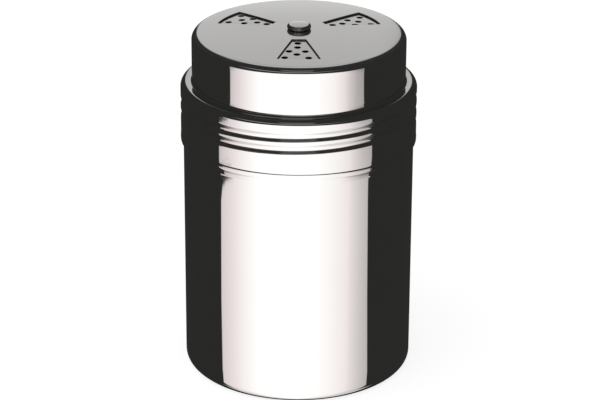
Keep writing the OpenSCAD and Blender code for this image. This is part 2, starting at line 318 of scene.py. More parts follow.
def round_outline(x, y, radius, steps):
    """A round hole."""
    outline = []
    for i in range(steps):
        n = Vector((math.cos(TURN * i / steps), math.sin(TURN * i / steps)))
        outline.append((Vector((x, y)) + n * radius, n))
    return outline


def double_d_outline(radius, half_flats, steps):
    """A round hole with two flats."""
    outline = []
    for i in range(steps):
        n = Vector((math.cos(TURN * i / steps), math.sin(TURN * i / steps)))
        point = n * radius
        if abs(point.y) > half_flats:
            point.y = math.copysign(half_flats, point.y)
            n = Vector((0, math.copysign(1, point.y)))
        outline.append((point, n))
    return outline


def fan(centre, radius, start, end, steps):
    """The rounded corner of an outline."""
    corner = []
    for i in range(steps + 1):
        a = start + (end - start) * i / steps
        n = Vector((math.cos(a), math.sin(a)))
        corner.append((centre + n * radius, n))
    return corner


def window_outline(win, corner_steps=5, side_steps=14, far_steps=16):
    """A wedge that points at the middle, with its axis along +X."""
    lean = math.atan2((win.far_width - win.near_width) / 2, win.far - win.near)
    along = Vector((math.cos(lean), math.sin(lean)))
    outward = Vector((-along.y, along.x))
    start = Vector((win.near, win.near_width / 2))
    near_y = start.y - win.corner * (1 - along.y) / along.x
    near_centre = Vector((win.near + win.corner, near_y))
    base = start - outward * win.corner
    half = base.dot(along)
    reach = -half + math.sqrt(half * half - base.length_squared + (win.far - win.corner) ** 2)
    far_centre = base + along * reach
    side_angle = lean + math.pi / 2
    far_angle = math.atan2(far_centre.y, far_centre.x)
    near = fan(near_centre, win.corner, math.pi, side_angle, corner_steps)
    far = fan(far_centre, win.corner, side_angle, far_angle, corner_steps)
    side = []
    for i in range(1, side_steps):
        side.append((near[-1][0].lerp(far[0][0], i / side_steps), outward))
    upper = near + side + far
    outer = fan(Vector((0, 0)), win.far, far_angle, -far_angle, far_steps)[1:-1]
    lower = [(Vector((p.x, -p.y)), Vector((n.x, -n.y))) for p, n in reversed(upper)]
    return upper + outer + lower


def turned(outline, by):
    """The outline turned about the axis."""
    spin = Matrix.Rotation(by, 2)
    return [(spin @ p, spin @ n) for p, n in outline]


def window_angles(count):
    """The directions of the windows; the first faces -Y."""
    return [-math.pi / 2 + TURN * i / count for i in range(count)]


# Meshes


def spin_section(bm, pairs, steps):
    """Spins the outer line round the axis. Each vertex keeps its place on the inner face."""
    inner = bm.verts.layers.float_vector.new("inner")
    verts = []
    for outer_point, inner_point in pairs:
        vert = bm.verts.new((outer_point[0], 0, outer_point[1]))
        vert[inner] = (inner_point[0], 0, inner_point[1])
        verts.append(vert)
    edges = [bm.edges.new(pair) for pair in zip(verts, verts[1:])]
    bmesh.ops.spin(
        bm, geom=verts + edges, cent=(0, 0, 0), axis=(0, 0, 1), dvec=(0, 0, 0),
        angle=TURN, steps=steps, use_merge=True, use_duplicate=False,
    )
    bmesh.ops.remove_doubles(bm, verts=bm.verts[:], dist=1e-8)
    bmesh.ops.recalc_face_normals(bm, faces=bm.faces[:])


def thread_form(u, flat):
    """Height of the thread's form across its width, 0 to 1; u is 1 at its edge."""
    if u >= 1:
        return 0.0
    if u <= flat:
        return 1.0
    return (1 + math.cos(math.pi * (u - flat) / (1 - flat))) / 2


def run_out(turned_by, below, above, fade):
    """How much of the thread is left towards its two ends."""
    from_end = min(turned_by + below * TURN, above * TURN - turned_by)
    if from_end <= 0:
        return 0.0
    return 1.0 if from_end >= fade else (1 - math.cos(math.pi * from_end / fade)) / 2


def roll_thread(bm, at_radius, lift, start_z, sides, turns, thread):
    """Rolls a thread into the round wall at that radius: lift is its height, outwards.

    sides are the widths of its lower and its upper side, turns how far it runs below and
    above the height at +X.
    """
    inner = bm.verts.layers.float_vector["inner"]
    for vert in bm.verts:
        radius = math.hypot(vert.co.x, vert.co.y)
        if abs(radius - at_radius) > NEAR:
            continue
        azimuth = math.atan2(vert.co.y, vert.co.x)
        height = 0.0
        for k in range(-2, 3):
            whole = azimuth + TURN * k
            middle = start_z + thread.pitch * whole / TURN
            off = vert.co.z - middle
            form = thread_form(-off / sides[0] if off < 0 else off / sides[1], thread.flat)
            if form > 0:
                height = max(height, form * run_out(whole, *turns, thread.run_out))
        if height > 0:
            grown = 1 + lift * height / radius
            vert.co.x *= grown
            vert.co.y *= grown
            vert[inner] = vert[inner] + Vector((lift * height, 0, 0))


def fill_sheet(bm, rim, holes, band, cell, reach):
    """Fills the round area inside the rim's edges with sheet, round the holes."""
    shift = bm.verts.layers.float_vector.new("shift")
    level = rim[0].verts[0].co.z
    edges = list(rim)
    for outline in holes:
        ring = []
        for point, normal in outline:
            vert = bm.verts.new((*(point + normal * band), level))
            vert[shift] = (normal.x, normal.y, 0)
            ring.append(vert)
        edges += [bm.edges.new(pair) for pair in zip(ring, ring[1:] + ring[:1])]
    filled = bmesh.ops.triangle_fill(
        bm, use_beauty=True, use_dissolve=False, edges=edges, normal=(0, 0, 1)
    )
    faces = [g for g in filled["geom"] if isinstance(g, bmesh.types.BMFace)]
    cuts = int(reach / cell)
    for axis in (Vector((1, 0, 0)), Vector((0, 1, 0))):
        for i in range(-cuts, cuts + 1):
            near = set(faces)
            near.update(e for f in faces for e in f.edges)
            near.update(v for f in faces for v in f.verts)
            cut = bmesh.ops.bisect_plane(
                bm, geom=list(near), dist=1e-8, plane_co=axis * (i * cell + cell / 3), plane_no=axis,
                use_snap_center=False, clear_outer=False, clear_inner=False,
            )
            faces = [g for g in cut["geom"] if isinstance(g, bmesh.types.BMFace)]
    open_edges = [e for e in bm.edges if e.is_boundary and all(v[shift].length > 0 for v in e.verts)]
    made = bmesh.ops.extrude_edge_only(bm, edges=open_edges)
    for vert in made["geom"]:
        if isinstance(vert, bmesh.types.BMVert):
            vert.co -= vert[shift] * band


def round_rim(bm, radius, faces):
    """The edges of a new circle about the axis."""
    made = bmesh.ops.create_circle(bm, cap_ends=False, radius=radius, segments=faces)
    return list(dict.fromkeys(e for v in made["verts"] for e in v.link_edges))


def turn_with_disc(bm, disc):
    """Turns the mesh to where the disc stands."""
    trim = Matrix.Rotation(disc.trim, 3, "Z")
    bmesh.ops.rotate(bm, cent=(0, 0, 0), matrix=trim, verts=bm.verts[:])


def shape_dome(bm, within, radius, top, sheet):
    """Lifts the flat sheet within a distance from the axis up to a dome."""
    inner = bm.verts.layers.float_vector.get("inner") or bm.verts.layers.float_vector.new("inner")
    centre = top - radius
    for vert in bm.verts:
        r = math.hypot(vert.co.x, vert.co.y)
        if r <= within:
            vert.co.z = dome_height(r, radius, top)
            scale = (radius - sheet) / radius
            vert[inner] = (r * scale, 0, centre + (vert.co.z - centre) * scale)


def thicken(bm, edge_round):
    """Closes the skin into sheet with its inner face, and rounds the edges that were cut."""
    inner = bm.verts.layers.float_vector["inner"]
    outside = set(bm.verts)
    bmesh.ops.extrude_face_region(bm, geom=bm.faces[:])
    for vert in bm.verts:
        if vert not in outside:
            a = math.atan2(vert.co.y, vert.co.x)
            vert.co = (vert[inner].x * math.cos(a), vert[inner].x * math.sin(a), vert[inner].z)
    bmesh.ops.recalc_face_normals(bm, faces=bm.faces[:])
    if edge_round > 0:
        cut_edges = set()
        for face in bm.faces:
            if 0 < sum(v in outside for v in face.verts) < len(face.verts):
                cut_edges.update(
                    e for e in face.edges if (e.verts[0] in outside) == (e.verts[1] in outside)
                )
        bmesh.ops.bevel(
            bm, geom=list(cut_edges), offset=edge_round, offset_type="OFFSET", segments=2,
            profile=0.5, affect="EDGES", clamp_overlap=False, material=-1, loop_slide=True,
        )


def make_piece(bm, name, body, material, sharp=math.radians(38)):
    """Turns the mesh into a piece that rides on a body and stands for the node of its name."""
    if bm.calc_volume(signed=True) < 0:
        bmesh.ops.reverse_faces(bm, faces=bm.faces[:])
    for face in bm.faces:
        face.smooth = True
    layers = bm.verts.layers.float_vector
    for key in layers.keys():
        layers.remove(layers[key])
    mesh = bpy.data.meshes.new(name)
    bm.to_mesh(mesh)
    bm.free()
    mesh.set_sharp_from_angle(angle=sharp)
    mesh.materials.append(material)
    piece = bpy.data.objects.new(name + "_steel", mesh)
    bpy.context.scene.collection.objects.link(piece)
    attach(piece, body)
    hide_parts(name)
    return piece


# Materials

LINE_SCALE = 5200  # turned lines in a metre, across them
LINE_STRETCH = 30  # the same along them
LINE_DEPTH = 0.0004 * MM
LINE_DULLNESS = 0.05
CLOUD_SCALE = 38.0
CLOUD_SHADES = (0.985, 1.012)  # of the steel's colour, from one cloud to the next
CLOUD_TOUCHED = (0.52, 0.75)  # where a cloud starts to be a touched place, and is one
HAIR_WIDTH = 0.004
HAIR_DULLNESS = 0.03
CROWN_START = 2.2 * MM  # below the crown's middle: where its duller polish starts
CROWN_FULL = 1.4 * MM  # and where it is reached


class Signal:
    """An output of a node that can be used in sums."""

    def __init__(self, bench, socket):
        self.bench = bench
        self.socket = socket

    def __add__(self, other):
        return self.bench.math("ADD", self, other)

    __radd__ = __add__

    def __sub__(self, other):
        return self.bench.math("SUBTRACT", self, other)

    def __rsub__(self, other):
        return self.bench.math("SUBTRACT", other, self)

    def __mul__(self, other):
        return self.bench.math("MULTIPLY", self, other)

    __rmul__ = __mul__


class Bench:
    """Builds one node tree."""

    def __init__(self, tree):
        self.tree = tree
        tree.nodes.clear()

    def node(self, kind, settings=None, sockets=None, out=0):
        """Adds a node: its settings first, then the values or links of its sockets."""
        node = self.tree.nodes.new(kind)
        for key, value in (settings or {}).items():
            if key == "stops":
                elements = node.color_ramp.elements
                for place, _ in value[len(elements):]:
                    elements.new(place)
                for element, (place, shade) in zip(elements, value):
                    element.position = place
                    element.color = (*shade, 1) if isinstance(shade, tuple) else (shade, shade, shade, 1)
            else:
                setattr(node, key, value)
        for key, value in (sockets or {}).items():
            if isinstance(value, Signal):
                self.tree.links.new(value.socket, node.inputs[key])
            else:
                node.inputs[key].default_value = value
        return Signal(self, node.outputs[out]) if node.outputs else node

    def math(self, operation, *values):
        """A Math node."""
        return self.node("ShaderNodeMath", {"operation": operation}, dict(enumerate(values)))

    def rise(self, value, low, high):
        """0 below low, 1 above high, and a smooth step between them."""
        return self.node(
            "ShaderNodeMapRange", {"interpolation_type": "SMOOTHSTEP", "clamp": True},
            {"Value": value, "From Min": low, "From Max": high, "To Min": 0.0, "To Max": 1.0},
        )

    def fall(self, value, low, high):
        """1 below low, 0 above high, and a smooth step between them."""
        return self.rise(value * -1.0, -high, -low)

    def ramp(self, value, stops):
        """A colour ramp over the values from 0 to 1."""
        return self.node("ShaderNodeValToRGB", {"stops": stops}, {"Fac": value})

    def ramp_within(self, value, low, high, stops):
        """A colour ramp over a small range of values, for stops that lie close together."""
        scale = 1 / (high - low)
        spread = [((place - low) * scale, shade) for place, shade in stops]
        return self.ramp((value - low) * scale, spread)

    def parts(self, vector):
        """The three numbers of a vector."""
        split = self.node("ShaderNodeSeparateXYZ", None, {"Vector": vector})
        return [Signal(self, s) for s in split.socket.node.outputs]

    def vector(self, x, y, z):
        """A vector from three numbers."""
        return self.node("ShaderNodeCombineXYZ", None, {"X": x, "Y": y, "Z": z})

    def noise(self, vector, scale, detail=2.0, roughness=0.5):
        """Noise from 0 to 1."""
        return self.node(
            "ShaderNodeTexNoise", {"noise_dimensions": "3D"},
            {"Vector": vector, "Scale": scale, "Detail": detail, "Roughness": roughness},
        )


def steel(name, tint, roughness, lines=0.3, haze=0.02, crown=None):
    """Polished steel: fine turned lines, a faint haze where hands were, a few hair scratches.

    lines is how much the turned lines show, and haze how much duller a touched place is. crown is
    the height of a crown that is polished less, and its roughness.
    """
    material = bpy.data.materials.new(name)
    material.use_nodes = True
    bench = Bench(material.node_tree)
    place = bench.node("ShaderNodeTexCoord", None, None, "Object")
    x, y, z = bench.parts(place)
    from_axis = bench.math("SQRT", x * x + y * y)
    line_place = bench.vector(x * LINE_STRETCH, y * LINE_STRETCH, (z + from_axis) * LINE_SCALE)
    turned_lines = bench.noise(line_place, 1.0, 3.0, 0.6)
    cloud = bench.noise(place, CLOUD_SCALE, 3.0, 0.55)
    askew = bench.vector(x * 110 + z * 60, y * 110 - z * 45, z * 110 + x * 40)
    scratch = 1 - bench.rise(bench.math("ABSOLUTE", bench.noise(askew, 1.0, 1.0) - 0.5), 0.0, HAIR_WIDTH)
    touched = bench.rise(cloud, *CLOUD_TOUCHED)
    rough = turned_lines * (LINE_DULLNESS * lines) + touched * haze + scratch * HAIR_DULLNESS
    rough = rough + (roughness - LINE_DULLNESS / 2 * lines)
    if crown:
        top, satin = crown
        on_crown = bench.rise(z, top - CROWN_START, top - CROWN_FULL)
        rough = rough + on_crown * (satin - roughness)
    darker, lighter = [(*(min(1, c * k) for c in tint), 1) for k in CLOUD_SHADES]
    shade = bench.node(
        "ShaderNodeMix", {"data_type": "RGBA"}, {"Factor": cloud, "A": darker, "B": lighter}, "Result"
    )
    relief = turned_lines - scratch * 0.5
    bump = bench.node(
        "ShaderNodeBump", None, {"Strength": 1.0, "Distance": LINE_DEPTH * lines, "Height": relief}
    )
    surface = bench.node(
        "ShaderNodeBsdfPrincipled", None,
        {"Base Color": shade, "Metallic": 1.0, "Roughness": rough, "Normal": bump},
    )
    bench.node("ShaderNodeOutputMaterial", None, {"Surface": surface})
    return material


# Operators, one for each piece or group of like pieces


class SHAKER_OT_can(bpy.types.Operator):
    """Builds the drawn can with its pressed base, rolled neck and curled rim."""

    bl_idname = "shaker.can"
    bl_label = "Can"

    def execute(self, context):
        can = context.scene.shaker_can
        lid = context.scene.shaker_lid
        thread = context.scene.shaker_thread
        t = can.sheet
        neck_r = can.radius - can.neck_step
        foot_out = can.radius - can.base_radius
        foot_in = foot_out - can.foot_width
        lift_x = foot_in - can.slope_width
        slope_steps = 8
        pairs = []
        for out in (0, 0.3, 0.6, 0.85):
            pairs.append(((lift_x * out, can.base_lift), (lift_x * out, can.base_lift + t)))
        for i in range(slope_steps + 1):
            r = lift_x + can.slope_width * i / slope_steps
            h = can.base_lift * (1 + math.cos(math.pi * i / slope_steps)) / 2
            pairs.append(((r, h), (r, h + t)))
        base_r = can.base_radius
        pairs += bend(foot_out, base_r, base_r, base_r - t, -math.pi / 2, 0, steps=14)
        neck_bend = can.neck_bend
        turn = math.acos(1 - can.neck_step / (2 * neck_bend))
        start = lid.foot - can.neck_start
        top = start + 2 * neck_bend * math.sin(turn)
        lower = bend(can.radius - neck_bend, start, neck_bend, neck_bend - t, 0, turn, steps=10)
        upper = bend(neck_r + neck_bend, top, neck_bend, neck_bend + t, math.pi + turn, math.pi, steps=10)
        # A last row close under the bend keeps the wall's reflections straight up to it
        under_bend = between(pairs[-1], lower[0], 1 - 1 / 320)
        pairs += straight(pairs[-1], lower[0], 16) + [under_bend] + lower + upper[1:]
        curl_r = can.curl_radius
        curl_z = can.rim_height - curl_r
        row = 0.2 * MM
        pairs += rows_at(neck_r, neck_r - t, top + row, curl_z - row / 2, row)
        pairs += bend(neck_r - curl_r, curl_z, curl_r, curl_r - t, 0, can.curl_turn, steps=22)
        bm = bmesh.new()
        spin_section(bm, pairs, CAN_FACES)
        ridge_z = lid.foot + thread.groove_rise + thread.hook
        sides = (thread.ridge_half, thread.ridge_half)
        turns = (thread.ridge_below, thread.ridge_above)
        roll_thread(bm, neck_r, can.neck_step, ridge_z, sides, turns, thread)
        thicken(bm, can.edge)
        finish = context.scene.shaker_finish
        material = steel("mirror_steel_can", finish.polished, finish.mirror)
        make_piece(bm, "body_can", "can", material)
        return {"FINISHED"}


class SHAKER_OT_lid(bpy.types.Operator):
    """Builds the pressed lid with its windows, its rolled thread and its hem."""

    bl_idname = "shaker.lid"
    bl_label = "Lid"

    def execute(self, context):
        scene = context.scene
        can, lid, win, thread = scene.shaker_can, scene.shaker_lid, scene.shaker_window, scene.shaker_thread
        t = lid.sheet
        skirt_in = can.radius + lid.skirt_clear
        skirt_r = skirt_in + t
        shoulder_z = lid.foot + lid.skirt_height
        radius, edge_x, edge_z, edge_a = crown_shape(lid)
        fill_r = win.far + win.margin
        crown_a = math.acos(fill_r / radius)
        pairs = bend(0, lid.top - radius, radius, radius - t, crown_a, edge_a, steps=3)
        pairs += bend(edge_x, edge_z, lid.cap_edge, lid.cap_edge - t, edge_a, 0, steps=18)[1:]
        foot_r = lid.cap_foot
        foot_x = lid.cap_radius + foot_r
        foot = bend(foot_x, shoulder_z + foot_r, foot_r, foot_r + t, math.pi, 1.5 * math.pi, steps=8)
        turn_r = lid.shoulder_radius
        turn_z = shoulder_z - turn_r
        turn = bend(skirt_r - turn_r, turn_z, turn_r, turn_r - t, math.pi / 2, 0, steps=16)
        pairs += straight(pairs[-1], foot[0], 8) + foot + straight(foot[-1], turn[0], 8) + turn
        soft_z = lid.foot + lid.hem_height + lid.hem_crease
        row = 0.18 * MM
        wall_top = turn_z - 0.1 * MM
        pairs += reversed(rows_at(skirt_r, skirt_in, soft_z, wall_top, row))
        pairs += hem_section(lid, skirt_r, skirt_in, soft_z)
        bm = bmesh.new()
        spin_section(bm, pairs, LID_FACES)
        sides = (thread.groove_steep, thread.groove_gentle)
        turns = (thread.groove_below, thread.groove_above)
        roll_thread(bm, skirt_r, -thread.groove_depth, lid.foot + thread.groove_rise, sides, turns, thread)
        rim = [e for e in bm.edges if e.is_boundary and e.verts[0].co.z > shoulder_z]
        holes = [turned(window_outline(win), a) for a in window_angles(win.count)]
        holes.append(round_outline(0, 0, lid.bore_radius, BORE_FACES))
        fill_sheet(bm, rim, holes, band=0.25 * MM, cell=1.6 * MM, reach=fill_r)
        shape_dome(bm, fill_r + NEAR, radius, lid.top, t)
        thicken(bm, lid.edge)
        finish = scene.shaker_finish
        material = steel("mirror_steel_lid", finish.polished, finish.mirror, crown=(lid.top, finish.satin))
        make_piece(bm, "lid_shell", "lid", material)
        return {"FINISHED"}


def hem_section(lid, skirt_r, skirt_in, soft_z):
    """The crease over the rolled hem, and the hem down to the skirt's lower edge."""
    pairs = []
    for x, z in arc(skirt_r - lid.hem_crease, soft_z, lid.hem_crease, 0, -math.pi / 2, 3)[1:]:
        pairs.append(((x, z), (skirt_in, z)))
    steps = 16
    for i in range(1, steps + 1):
        a = math.pi / 2 - math.pi * i / steps
        fullness = max(0.0, math.cos(a)) ** lid.hem_rounding
        x = skirt_r - lid.hem_crease + (lid.hem_crease + lid.hem_bulge) * fullness
        z = lid.foot + lid.hem_height / 2 * (1 + math.sin(a))
        pairs.append(((x, z), (skirt_in, max(z, lid.foot))))
    return pairs


class SHAKER_OT_sieve_disc(bpy.types.Operator):
    """Builds the perforated disc that follows the crown."""

    bl_idname = "shaker.sieve_disc"
    bl_label = "Sieve Disc"

    def execute(self, context):
        scene = context.scene
        disc, lid, knob = scene.shaker_disc, scene.shaker_lid, scene.shaker_knob
        count = scene.shaker_window.count
        radius = crown_shape(lid)[0] - lid.sheet - disc.gap
        top = lid.top - lid.sheet - disc.gap
        holes = [double_d_outline(knob.shank_radius + disc.fit, knob.flats + disc.fit, BORE_FACES)]
        for places, hole_r, faces, offset in (
            (MEDIUM_HOLES, disc.medium_radius, MEDIUM_FACES, 0),
            (COARSE_HOLES, disc.coarse_radius, COARSE_FACES, disc.setting),
        ):
            for direction in window_angles(count):
                for out, side in places:
                    hole = round_outline(out * MM, side * MM, hole_r, faces)
                    holes.append(turned(hole, direction + offset))
        bm = bmesh.new()
        rim = round_rim(bm, disc.radius, DISC_FACES)
        fill_sheet(bm, rim, holes, band=0.2 * MM, cell=1.6 * MM, reach=disc.radius)
        shape_dome(bm, disc.radius + NEAR, radius, top, disc.sheet)
        thicken(bm, disc.edge)
        turn_with_disc(bm, disc)
        finish = scene.shaker_finish
        material = steel("bright_rolled_steel", finish.rolled, finish.bright, lines=0.8, haze=0.03)
        make_piece(bm, "sieve_disc", "sifter", material)
        return {"FINISHED"}


class SHAKER_OT_knob(bpy.types.Operator):
    """Builds the domed knob with its shank and spread end."""

    bl_idname = "shaker.knob"
    bl_label = "Knob"

    def execute(self, context):
        scene = context.scene
        knob = scene.shaker_knob
        low = WASHER_FOOT.z
        head_z = knob.top - knob.dome - knob.side
        flats_z = DISC_TOP.z + knob.bevel
        side_z = head_z + knob.side
        edge_x = knob.head_radius - knob.edge
        foot_x = knob.head_radius - knob.foot
        dome_r = (edge_x**2 + knob.dome**2 - knob.edge**2) / (2 * (knob.dome - knob.edge))
        dome_a = math.atan2(dome_r - knob.dome, edge_x)
        stake_r = (knob.stake_radius**2 + knob.stake**2) / (2 * knob.stake)
        stake_a = math.acos(knob.stake_radius / stake_r)
        shank_r = knob.shank_radius
        line = arc(0, knob.top - dome_r, dome_r, math.pi / 2, dome_a, steps=12)
        line += arc(edge_x, side_z, knob.edge, dome_a, 0, steps=10)[1:]
        line += arc(foot_x, head_z + knob.foot, knob.foot, 0, -math.pi / 2, steps=6)
        line += [(shank_r + knob.bevel, head_z), (shank_r, head_z - knob.bevel)]
        line += [(shank_r, z) for z in (flats_z + 2 * NEAR, flats_z - 2 * NEAR, low + knob.stake / 2, low)]
        line += arc(0, low + stake_r - knob.stake, stake_r, -stake_a, -math.pi / 2, steps=8)
        bm = bmesh.new()
        spin_section(bm, [(p, p) for p in line], SMALL_FACES)
        for vert in bm.verts:
            on_shank = math.hypot(vert.co.x, vert.co.y) < shank_r + NEAR
            if on_shank and low - NEAR < vert.co.z < flats_z:
                vert.co.y = max(-knob.flats, min(knob.flats, vert.co.y))
        turn_with_disc(bm, scene.shaker_disc)
        finish = scene.shaker_finish
        material = steel("polished_knob", finish.polished, finish.mirror)
        make_piece(bm, "turning_knob", "sifter", material)
        return {"FINISHED"}


class SHAKER_OT_washers(bpy.types.Operator):
    """Builds the spring washer and the flat washer under the disc."""

    bl_idname = "shaker.washers"
    bl_label = "Washers"

    def execute(self, context):
        scene = context.scene
        sizes, knob, finish = scene.shaker_washer, scene.shaker_knob, scene.shaker_finish
        spring_top = SPRING_TOP.z
        low = SPRING_FOOT.z
        t = sizes.spring_sheet
        outer = (SPRING_TOP.x, spring_top)
        inner = (sizes.spring_bore, low + t)
        bm = bmesh.new()
        first = (inner, (inner[0], inner[1] - t))
        last = (outer, (outer[0], outer[1] - t))
        spin_section(bm, [first, *straight(first, last, 4), last], SMALL_FACES)
        thicken(bm, sizes.edge)
        material = steel("tumbled_spring_steel", finish.tumbled, finish.stamped, lines=1.0, haze=0.05)
        make_piece(bm, "spring_washer", "washer", material)

        bm = bmesh.new()
        rim = round_rim(bm, WASHER_TOP.x, SMALL_FACES)
        hole = double_d_outline(knob.shank_radius + sizes.fit, knob.flats + sizes.fit, BORE_FACES)
        fill_sheet(bm, rim, [hole], band=0.2 * MM, cell=1.5 * MM, reach=WASHER_TOP.x)
        inner_place = bm.verts.layers.float_vector.new("inner")
        for vert in bm.verts:
            vert.co.z = WASHER_TOP.z
            vert[inner_place] = (math.hypot(vert.co.x, vert.co.y), 0, WASHER_FOOT.z)
        thicken(bm, sizes.edge)
        turn_with_disc(bm, scene.shaker_disc)
        material = steel("stamped_washer_steel", finish.rolled, finish.stamped, lines=1.0, haze=0.05)
        make_piece(bm, "retaining_washer", "sifter", material)
        return {"FINISHED"}


class SHAKER_OT_studio(bpy.types.Operator):
    """Sets the floor, the soft light, the surroundings and the camera."""

    bl_idname = "shaker.studio"
    bl_label = "Studio"

    def execute(self, context):
        studio = context.scene.shaker_studio
        context.scene.view_settings.view_transform = "Standard"
        lay_floor(studio)
        hang_light(studio)
        paint_surroundings(context.scene, studio)
        place_camera(context.scene, studio)
        return {"FINISHED"}


def lay_floor(studio):
    """A plain pale floor that keeps the shaker's shadow."""
    bm = bmesh.new()
    bmesh.ops.create_grid(bm, x_segments=1, y_segments=1, size=studio.floor_half)
    mesh = bpy.data.meshes.new("floor")
    bm.to_mesh(mesh)
    bm.free()
    floor = bpy.data.objects.new("floor", mesh)
    bpy.context.scene.collection.objects.link(floor)
    material = bpy.data.materials.new("pale_floor")
    material.use_nodes = True
    bench = Bench(material.node_tree)
    rays = bench.node("ShaderNodeLightPath", None, None, "Is Camera Ray")
    matt = bench.node("ShaderNodeBsdfDiffuse", None, {"Color": (*studio.floor_colour, 1)})
    white = bench.node("ShaderNodeEmission", None, {"Color": (1, 1, 1, 1), "Strength": 1.0})
    mixed = bench.node("ShaderNodeMixShader", None, {0: rays * studio.floor_white, 1: matt, 2: white})
    bench.node("ShaderNodeOutputMaterial", None, {"Surface": mixed})
    mesh.materials.append(material)
    floor.visible_glossy = False


def hang_light(studio):
    """One large soft lamp above and in front."""
    lamp = bpy.data.lights.new("softbox", "AREA")
    lamp.shape = "RECTANGLE"
    lamp.size = studio.lamp_width
    lamp.size_y = studio.lamp_depth
    lamp.energy = studio.lamp_power
    softbox = bpy.data.objects.new("softbox", lamp)
    softbox.location = studio.lamp_place
    softbox.rotation_euler = Vector(softbox.location).to_track_quat("Z", "Y").to_euler()
    softbox.visible_glossy = False
    bpy.context.scene.collection.objects.link(softbox)


# The room that the steel mirrors. A direction in it is given in half turns: its height is 0 straight down,
# 0.5 level and 1 straight up, and its side is 0 at -X, 0.5 in front and 1 at +X. Its hoop is the angle over
# the shaker, from 0 level behind to 1 level in front. Stops are (place, brightness, colour or edge).
CARD_SHADES = (
    (0.0, (0.56, 0.52, 0.52)), (0.083, (0.72, 0.66, 0.66)), (0.139, (0.81, 0.75, 0.75)),
    (0.183, (0.88, 0.85, 0.84)), (0.28, 1.0), (0.59, 1.0), (0.70, (0.90, 0.88, 0.87)),
    (0.78, (0.83, 0.77, 0.77)), (0.81, (0.72, 0.67, 0.67)), (0.86, (0.58, 0.55, 0.54)),
    (0.92, (0.46, 0.44, 0.43)),
)
CARD_DIMMING = ((0.05, 0.20), (0.139, 0.09), (0.25, 0.0), (0.72, 0.0), (0.79, 0.11), (0.86, 0.27))
DIMMING_HEIGHTS = (0.372, 0.389)
CARD_TOP = (
    (0.0, 0.380), (0.033, 0.389), (0.07, 0.402), (0.11, 0.412), (0.167, 0.417), (0.222, 0.423),
    (0.278, 0.437), (0.333, 0.453), (0.389, 0.467), (0.444, 0.480), (0.5, 0.488), (0.556, 0.482),
    (0.611, 0.468), (0.667, 0.455), (0.722, 0.435), (0.778, 0.418), (0.833, 0.412), (0.917, 0.402),
    (1.0, 0.380),
)
CARD_TOP_BLUR = 0.02
CARD_EDGE_HEIGHTS = (0.35, 0.40)
CARD_LEFT = (
    (0.35, 0.040), (0.361, 0.033), (0.3734, 0.0368), (0.3746, 0.0445), (0.3749, 0.046),
    (0.3751, 0.0475), (0.3754, 0.058), (0.3757, 0.068), (0.3759, 0.075), (0.3762, 0.10),
    (0.3764, 0.12), (0.3776, 0.12), (0.37785, 0.0364), (0.38305, 0.037), (0.3833, 0.06),
    (0.3836, 0.10), (0.3841, 0.10), (0.3846, 0.066), (0.3892, 0.0665),
)
CARD_RIGHT = (
    (0.352, 0.9254), (0.3609, 0.9169), (0.3735, 0.910), (0.3762, 0.910), (0.3788, 0.9228),
    (0.3834, 0.921), (0.3861, 0.9102), (0.389, 0.908),
)
CARD_SIDE_BLUR = 0.003
GLOW = 0.75
GLOW_HEIGHTS = (0.18, 0.27)
GLOW_END = (6, 16)  # degrees behind straight down
STRIP = ((0.604, 0.0), (0.609, 0.6), (0.622, 0.6), (0.63, 0.2), (0.65, 0.15), (0.66, 0.0))
STRIP_SIDES = ((0.11, 0.0), (0.167, 0.45), (0.25, 1.0), (0.53, 1.0), (0.78, 0.08), (0.83, 0.0))
WALL = (
    (0.0, 0.0), (0.02, 0.78), (0.067, 0.66), (0.083, 0.585), (0.106, 0.555), (0.144, 0.52),
    (0.172, 0.50), (0.2, 0.42), (0.233, 0.37), (0.267, 0.45), (0.3, 0.57), (0.333, 0.61),
    (0.367, 0.50), (0.4, 0.28), (0.433, 0.08), (0.46, 0.01), (0.64, 0.01), (0.655, 0.10),
    (0.67, 0.02), (0.72, 0.17), (0.765, 0.17), (0.79, 0.0),
)
WALL_REACH = (
    (0.0, 0.10), (0.07, 0.08), (0.125, 0.08), (0.15, 0.105), (0.2, 0.15), (0.3, 0.18), (0.4, 0.14)
)
WALL_REACH_UNIT = 100  # degrees to each side of its middle
WALL_MIDDLE = -1.2  # degrees towards +X
WALL_BLUR = 3  # degrees


def white_card(bench, height, side, brightness):
    """The large card low in front, as a colour: white in its middle, warm and darker to its sides."""
    shades = bench.ramp(side, CARD_SHADES)
    dimmed = 1 - bench.ramp(side, CARD_DIMMING) * bench.rise(height, *DIMMING_HEIGHTS)
    top = bench.ramp(side, CARD_TOP)
    left = bench.ramp_within(height, *CARD_EDGE_HEIGHTS, CARD_LEFT)
    right = bench.ramp_within(height, *CARD_EDGE_HEIGHTS, CARD_RIGHT)
    seen = bench.rise(top - height, -CARD_TOP_BLUR, CARD_TOP_BLUR) * dimmed
    seen = seen * bench.rise(side - left, -CARD_SIDE_BLUR, CARD_SIDE_BLUR)
    seen = seen * bench.rise(right - side, -CARD_SIDE_BLUR, CARD_SIDE_BLUR)
    return bench.node("ShaderNodeVectorMath", {"operation": "SCALE"}, {0: shades, "Scale": seen * brightness})


def floor_glow(bench, height, y, z):
    """The bright floor close below, in front and a few degrees behind."""
    behind = bench.math("ARCTAN2", y, z * -1.0) * (1 / DEGREE)
    return bench.fall(height, *GLOW_HEIGHTS) * bench.fall(behind, *GLOW_END) * GLOW


